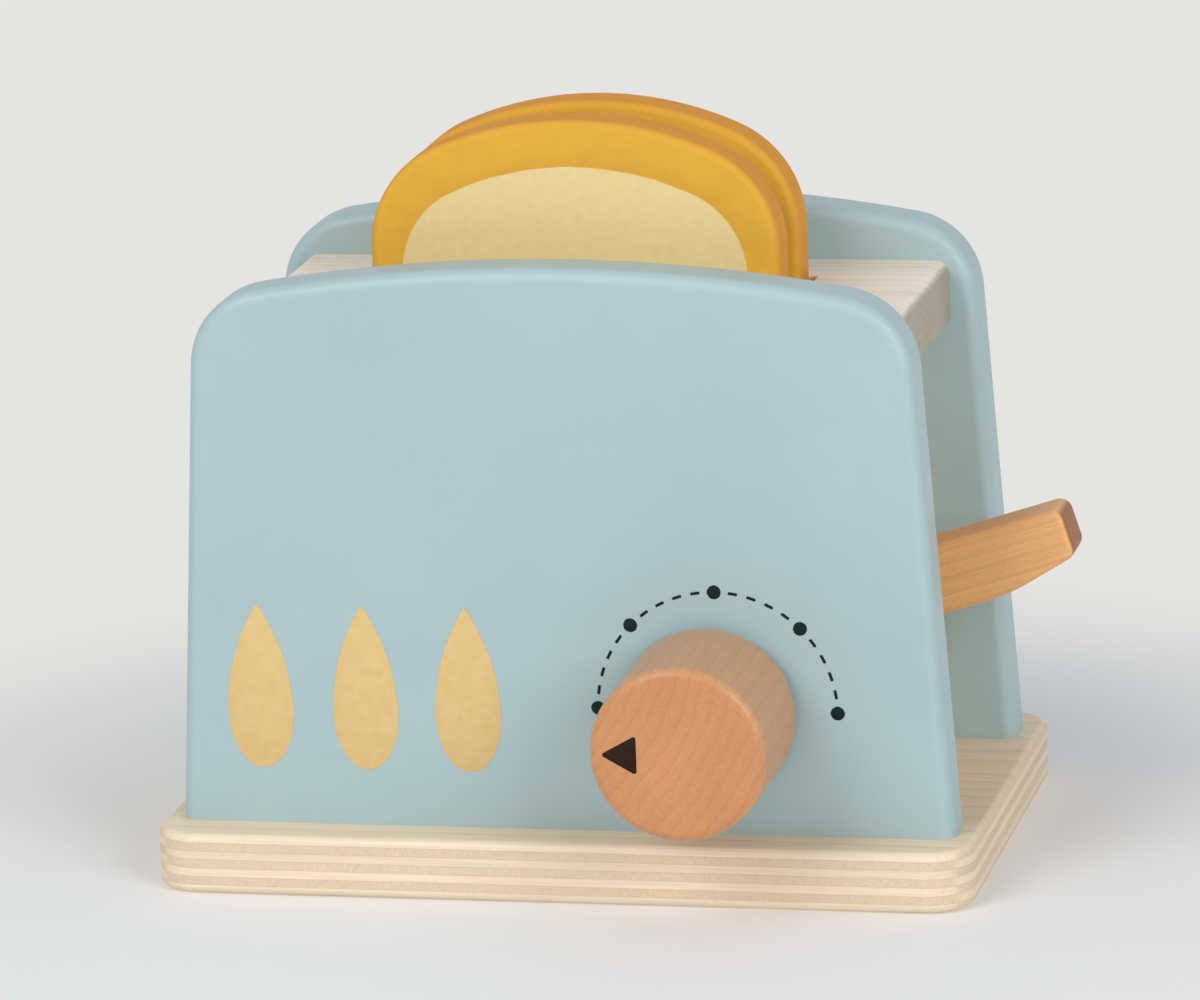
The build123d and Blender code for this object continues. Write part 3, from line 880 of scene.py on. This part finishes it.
@dataclass
class Housing:
    """Side walls, top plate and the chute inside them, all natural wood."""

    walls: tuple[str, ...] = ("left_side_wall", "right_side_wall", "chute_left_end", "chute_right_end")
    strips: tuple[str, ...] = ("carriage_ledge_front", "carriage_ledge_back", "carriage_rib")
    cross_dowels: tuple[str, ...] = (
        "wall_dowels", "pivot_spacer_front", "pivot_spacer_back",
        "lever_pivot_pin", "knob_axle", "knob_collar",
    )
    upright_dowels: tuple[str, ...] = ("plate_dowels",)
    chute_boards: tuple[str, ...] = ("chute_front_board", "chute_back_board")
    chute_plies: int = 3

    def dress(self) -> None:
        """Dresses the walls, the plate, the chute and the glued dowels."""
        # painted shade: the top plate's end tone is a grey that darkens its ends as the shade between the
        # panels does, on top of end grain
        plate_wood = SolidWood(
            "lime_wood_plate", early="#FAEEDC", late="#E8D0AE", grain=Grain.ALONG_X, pith=(8.0, -84.0),
            ring_mm=2.6, ring_show=0.5, fleck_show=0.12, end_grain_and_shade_tone="#B4B2A8",
        )
        dress(["top_plate"], plate_wood)
        wall_wood = SolidWood(
            "lime_wood_walls", early="#E2CBA8", late="#C59F70", grain=Grain.ALONG_Z,
            pith=(-90.0, 130.0), ring_mm=2.8, ring_show=0.55, fleck_show=0.22,
        )
        dress(self.walls, wall_wood)
        strip_wood = SolidWood(
            "lime_wood_strips", early="#E4CDA9", late="#C8A274", grain=Grain.ALONG_X, pith=(30.0, 70.0),
            ring_mm=2.2, ring_show=0.55, fleck_show=0.22,
        )
        dress(self.strips, strip_wood)
        for title, dowels, grain in (
            ("beech_dowel_across", self.cross_dowels, Grain.ALONG_Y),
            ("beech_dowel_upright", self.upright_dowels, Grain.ALONG_Z),
        ):
            dowel_wood = SolidWood(
                title, early="#DDBB8C", late="#B98A58", grain=grain, pith=(25.0, 40.0),
                ring_mm=1.8, ring_show=0.5, fleck_show=0.4,
            )
            dress(dowels, dowel_wood)
        for node in self.chute_boards:
            board = Extent.of(node)
            foot, thickness = board.low.y / MM, board.size.y / MM
            plywood = BirchPlywood(
                f"birch_plywood_{node}", Layup.STACKED_Y, foot, thickness, self.chute_plies
            )
            dress([node], plywood)


@dataclass
class Panels:
    """The painted front and back panels, with the dial marks and the drops on the front."""

    face_y: float
    knob_centre: tuple[float, float]
    dial_aside: float = 1.2 * MM
    dial_radius: float = 23.7 * MM
    dial_step: float = 9.0
    steps_to_a_dot: int = 5
    dot_radius: float = 1.4 * MM
    dot_cuts: int = 31
    dash_length: float = 1.9 * MM
    dash_width: float = 0.6 * MM
    dash_corner: float = 0.135 * MM
    drop_middles: tuple[float, ...] = (-60.2 * MM, -39.0 * MM, -18.3 * MM)
    drop_half_width: float = 6.6 * MM
    drop_foot_z: float = 23.2 * MM
    drop_wide_z: float = 34.5 * MM
    drop_tip_z: float = 56.6 * MM
    drop_foot_cuts: int = 36
    drop_side_cuts: int = 14

    def dress(self) -> None:
        """Dresses both panels."""
        dress(["front_panel", "back_panel"], SatinPaint("satin_blue_paint", "#ABC2C3", "#A7BEC0"))

    def build_dial(self) -> None:
        """Builds the half circle of dots and dashes round the knob."""
        layer = ThinLayer()
        around, z = self.knob_centre[0] + self.dial_aside, self.knob_centre[1]
        x, last_cut = around + self.dial_radius, 360.0 * self.dot_cuts / (self.dot_cuts + 1)
        dot_rim = Bow((x, z), (self.dot_radius, self.dot_radius), 0.0, last_cut, self.dot_cuts)
        dot = layer.carve([dot_rim], 4 * self.dot_radius, (x, z), self.face_y)
        half_width, half_length = self.dash_width / 2, self.dash_length / 2
        x0, x1, z0, z1 = x - half_width, x + half_width, z - half_length, z + half_length
        dash_rim = rounded_corners([(x0, z0), (x1, z0), (x1, z1), (x0, z1)], self.dash_corner)
        dash = layer.carve(dash_rim, 3 * self.dash_length, (x, z), self.face_y)
        pivot = Matrix.Translation((around, 0.0, z))
        marks = []
        for number in range(round(180 / self.dial_step) + 1):
            # a turn about -Y goes anticlockwise as seen from the front
            turn = Matrix.Rotation(math.radians(number * self.dial_step), 4, (0, -1, 0))
            pattern = dash if number % self.steps_to_a_dot else dot
            marks.append(copied(pattern, pivot @ turn @ pivot.inverted()))
        for pattern in (dot, dash):
            bpy.data.objects.remove(pattern)
        marks_piece = joined(marks, "dial_marks")
        ink = PrintedFilm(
            "dark_screen_ink", "#0C1E20", "#15292B", mottle_mm=0.8, roughness=0.55, gloss=0.15
        )
        finished(marks_piece, ink.material(), "shell")

    def build_drops(self) -> None:
        """Builds the row of three drops with their tips up."""
        width, foot = self.drop_half_width, self.drop_wide_z - self.drop_foot_z
        rise = self.drop_tip_z - self.drop_wide_z
        # each side is an arc that leaves the widest place upright and meets the other at the tip
        bend = (rise**2 + width**2) / (2 * width)
        tip = math.degrees(math.asin(rise / bend))
        first, wide_z, side_cuts = self.drop_middles[0], self.drop_wide_z, self.drop_side_cuts
        rim = [
            Bow((first, wide_z), (width, foot), 180.0, 360.0, self.drop_foot_cuts),
            Bow((first + width - bend, wide_z), (bend, bend), 0.0, tip, side_cuts),
            Bow((first - width + bend, wide_z), (bend, bend), 180.0 - tip, 180.0, side_cuts),
        ]
        drops = [ThinLayer().carve(rim, 4 * rise, (first, wide_z), self.face_y)]
        for middle in self.drop_middles[1:]:
            drops.append(copied(drops[0], Matrix.Translation((middle - first, 0.0, 0.0))))
        ink = PrintedFilm("yellow_screen_ink", "#DAB976", "#E0C084", mottle_mm=2.6, roughness=0.46)
        finished(joined(drops, "drop_prints"), ink.material(), "shell")


@dataclass
class ToastSlices:
    """Two wooden slices: amber crust with a cream crumb painted on both faces."""

    slices: dict[str, Extent]
    crown_radius: float = 70.0 * MM
    crust_side: float = 6.4 * MM
    crust_top: float = 9.2 * MM
    crust_foot: float = 8.5 * MM
    crumb_crown_radius: float = 58.0 * MM
    crumb_crown_cuts: int = 40
    shoulder_radius: float = 18.0 * MM
    shoulder_cuts: int = 10
    foot_radius: float = 4.0 * MM
    foot_cuts: int = 6

    def dress(self) -> None:
        """Dresses the slices in crust paint."""
        for name, extent in self.slices.items():
            paint = CrustPaint(
                f"crust_paint_{name}", middle_y_mm=extent.middle.y / MM,
                half_thickness_mm=extent.size.y / 2 / MM, half_width_mm=extent.size.x / 2 / MM,
                crown_radius_mm=self.crown_radius / MM,
                crown_centre_z_mm=(extent.high.z - self.crown_radius) / MM,
            )
            dress([f"toast_{name}"], paint)

    def crumb_outline(self, extent: Extent) -> list[Bow]:
        """Gives the crumb's outline: the slice's own, further in and rounder.

        Args:
            extent: Box round the slice.

        Returns:
            The stretches that bound it.
        """
        half = extent.size.x / 2 - self.crust_side
        low = extent.low.z + self.crust_foot
        crown = self.crumb_crown_radius
        centre_z = extent.high.z - self.crust_top - crown
        # the shoulder touches the crown's arc from inside and the straight side
        inner = crown - self.shoulder_radius
        shoulder_x = half - self.shoulder_radius
        lean = math.degrees(math.acos(shoulder_x / inner))
        shoulder_z = centre_z + inner * math.sin(math.radians(lean))
        shoulder_radii, foot_radii = (self.shoulder_radius,) * 2, (self.foot_radius,) * 2
        foot_x, foot_z = half - self.foot_radius, low + self.foot_radius
        return [
            Bow((0.0, centre_z), (crown, crown), lean, 180.0 - lean, self.crumb_crown_cuts),
            Bow((shoulder_x, shoulder_z), shoulder_radii, 0.0, lean, self.shoulder_cuts),
            Bow((-shoulder_x, shoulder_z), shoulder_radii, 180.0 - lean, 180.0, self.shoulder_cuts),
            Bow((foot_x, foot_z), foot_radii, -90.0, 0.0, self.foot_cuts),
            Bow((-foot_x, foot_z), foot_radii, 180.0, 270.0, self.foot_cuts),
        ]

    def build_crumbs(self) -> None:
        """Builds the cream crumb on both faces of both slices."""
        paint = PrintedFilm(
            "cream_crumb_paint", "#E1C788", "#E6CE95", mottle_mm=1.9, roughness=0.5, gloss=0.3
        )
        cream = paint.material()
        layer = ThinLayer(height=0.12 * MM, rim=0.08 * MM)
        for name, extent in self.slices.items():
            middle = extent.middle
            rim = self.crumb_outline(extent)
            near = layer.carve(rim, 2.4 * extent.size.z, (middle.x, middle.z), extent.low.y)
            about = Matrix.Translation(middle)
            far = copied(near, about @ Matrix.Rotation(math.pi, 4, "Z") @ about.inverted())
            finished(joined([near, far], f"crumb_{name}"), cream, f"slice_{name}")


@dataclass
class LeverAndCarriage:
    """The rocking lever, and the carriage that it lifts."""

    platform: Extent
    platform_plies: int = 5

    def dress(self) -> None:
        """Dresses the lever, and the carriage's board and foot."""
        lever_wood = SolidWood(
            "beech_lever", early="#F0B474", late="#DC9C5E", grain=Grain.ALONG_LEVER, pith=(33.0, -70.0),
            ring_mm=2.2, ring_show=0.4, fleck_show=0.25, end_grain_and_shade_tone="#A88A66",
        )
        dress(["lever"], lever_wood)
        foot_wood = SolidWood(
            "beech_foot", early="#DDAE7A", late="#B57C48", grain=Grain.ALONG_Z, pith=(33.0, 70.0),
            ring_mm=2.2, ring_show=0.55, fleck_show=0.5,
        )
        dress(["carriage_foot"], foot_wood)
        foot, thickness = self.platform.low.z / MM, self.platform.size.z / MM
        plywood = BirchPlywood(
            "birch_plywood_platform", Layup.STACKED_Z, foot, thickness, self.platform_plies
        )
        dress(["carriage_platform"], plywood)


@dataclass
class Knob:
    """The turned beech knob, its felt washer, and the pointer printed on its face."""

    knob: Extent
    pointer_tip: float = 15.0 * MM
    pointer_back: float = 7.9 * MM
    pointer_half_height: float = 3.95 * MM
    pointer_corner: float = 0.45 * MM

    def dress(self) -> None:
        """Dresses the knob and its washer."""
        knob_wood = SolidWood(
            "beech_knob", early="#D09868", late="#BE8251", grain=Grain.ALONG_Y, pith=(-12.0, -62.0),
            ring_mm=2.6, ring_show=0.35, fleck_show=0.3, end_grain_and_shade_tone="#FEEEE1", varnish=0.4,
        )
        dress(["knob"], knob_wood)
        dress(["knob_washer"], WoolFelt("pressed_wool_felt"))

    def build_pointer(self) -> None:
        """Builds the dark triangle that shows where the knob points."""
        x, z = self.knob.middle.x, self.knob.middle.z
        back, half_height = x - self.pointer_back, self.pointer_half_height
        corners = [(x - self.pointer_tip, z), (back, z - half_height), (back, z + half_height)]
        rim = rounded_corners(corners, self.pointer_corner)
        pointer = ThinLayer().carve(rim, 8 * self.pointer_tip, (x, z), self.knob.low.y)
        ink = PrintedFilm(
            "brown_screen_ink", "#241205", "#331D0B", mottle_mm=0.9, roughness=0.55, gloss=0.15
        )
        finished(joined([pointer], "knob_pointer"), ink.material(), "knob")


@dataclass(frozen=True)
class Lamp:
    """A soft square lamp: where it hangs, the side of its panel, its watts and its colour."""

    name: str
    place: Triple
    size: float
    power: float
    colour: str

    def hang(self, target: Triple) -> None:
        """Hangs the lamp in the scene.

        Args:
            target: Where it points.
        """
        data = bpy.data.lights.new(self.name, "AREA")
        data.size = self.size
        data.energy = self.power
        data.color = linear(self.colour)[:3]
        lamp = bpy.data.objects.new(self.name, data)
        bpy.context.scene.collection.objects.link(lamp)
        turn = (Vector(self.place) - Vector(target)).to_track_quat("Z", "Y").to_matrix().to_4x4()
        lamp.matrix_world = Matrix.Translation(self.place) @ turn


@dataclass
class Studio:
    """Pale paper floor, plain background, soft lamps and the camera."""

    background: str = "#E5E4E2"
    floor_radius: float = 3.0
    floor_sides: int = 128
    floor_drop: float = 0.4 * MM
    room_colour: str = "#F4F8FF"
    room_level: float = 0.5
    lamps: tuple[Lamp, ...] = (
        Lamp("key_lamp", (-0.75, -1.35, 1.2), 1.0, 13.8, "#FFFFFF"),
        Lamp("fill_lamp", (1.15, -1.15, 0.75), 0.8, 11.5, "#F6FAFF"),
    )
    target: Triple = (0.0, 0.0, 68.0 * MM)
    yaw: float = 12.994
    pitch: float = 13.797
    roll: float = -2.156
    distance: float = 1.5
    lens: float = 226.13
    nearest: float = 0.05
    furthest: float = 50.0

    def build(self) -> None:
        """Builds the whole studio."""
        self.build_floor()
        self.build_room()
        for lamp in self.lamps:
            lamp.hang(self.target)
        self.add_camera()

    def build_floor(self) -> None:
        """Builds the round paper floor, a hair below the base board."""
        deselect_all()
        bpy.ops.mesh.primitive_circle_add(
            vertices=self.floor_sides, radius=self.floor_radius, fill_type="NGON",
            location=(0.0, 0.0, -self.floor_drop),
        )
        floor = bpy.context.active_object
        floor.name = "paper_floor"
        bpy.ops.object.transform_apply(location=True, rotation=True, scale=True)
        floor.data.materials.append(StudioPaper("matt_studio_paper", self.background).material())
        LOG.info("stage %s", floor.name)

    def build_room(self) -> None:
        """Sets even room light, and a plain background where the camera and reflections see it."""
        world = bpy.data.worlds.new("plain_room")
        bpy.context.scene.world = world
        world.use_nodes = True
        tree = world.node_tree
        tree.nodes.clear()
        add = partial(add_node, tree)
        light = add("Background", {"Color": linear(self.room_colour), "Strength": self.room_level})
        plain = add("Background", {"Color": linear(self.background), "Strength": 1.0})
        mixed = add("MixShader", {0: plain_rays(tree), 1: light, 2: plain})
        add("OutputWorld", {"Surface": mixed})

    def add_camera(self) -> None:
        """Adds the camera, slightly above, right of the middle and turned a little."""
        data = bpy.data.cameras.new("camera")
        data.lens = self.lens
        data.clip_start, data.clip_end = self.nearest, self.furthest
        camera = bpy.data.objects.new("camera", data)
        bpy.context.scene.collection.objects.link(camera)
        yaw, pitch = math.radians(self.yaw), math.radians(self.pitch)
        back = Vector((math.sin(yaw) * math.cos(pitch), -math.cos(yaw) * math.cos(pitch), math.sin(pitch)))
        camera.matrix_world = (
            Matrix.Translation(Vector(self.target) + back * self.distance)
            @ back.to_track_quat("Z", "Y").to_matrix().to_4x4()
            @ Matrix.Rotation(math.radians(self.roll), 4, "Z")
        )
        bpy.context.scene.camera = camera


def clear_startup_objects() -> None:
    """Removes what Blender's own startup file brings."""
    for name in ("Cube", "Light", "Camera"):
        if name in bpy.data.objects:
            bpy.data.objects.remove(bpy.data.objects[name])


def main() -> None:
    """Builds and dresses the toaster and its studio, in order."""
    logging.basicConfig(level=logging.INFO, format="%(name)s: %(message)s")
    clear_startup_objects()
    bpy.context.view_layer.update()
    bpy.context.scene.view_settings.view_transform = "Standard"
    Studio().build()
    knob_extent = Extent.of("knob")
    BaseBoard(Extent.of("base_board")).dress()
    Housing().dress()
    panels = Panels(Extent.of("front_panel").low.y, (knob_extent.middle.x, knob_extent.middle.z))
    panels.dress()
    panels.build_dial()
    panels.build_drops()
    slices = ToastSlices({side: Extent.of(f"toast_{side}") for side in ("front", "back")})
    slices.dress()
    slices.build_crumbs()
    LeverAndCarriage(Extent.of("carriage_platform")).dress()
    knob = Knob(knob_extent)
    knob.dress()
    knob.build_pointer()


if __name__ == "__main__":
    main()
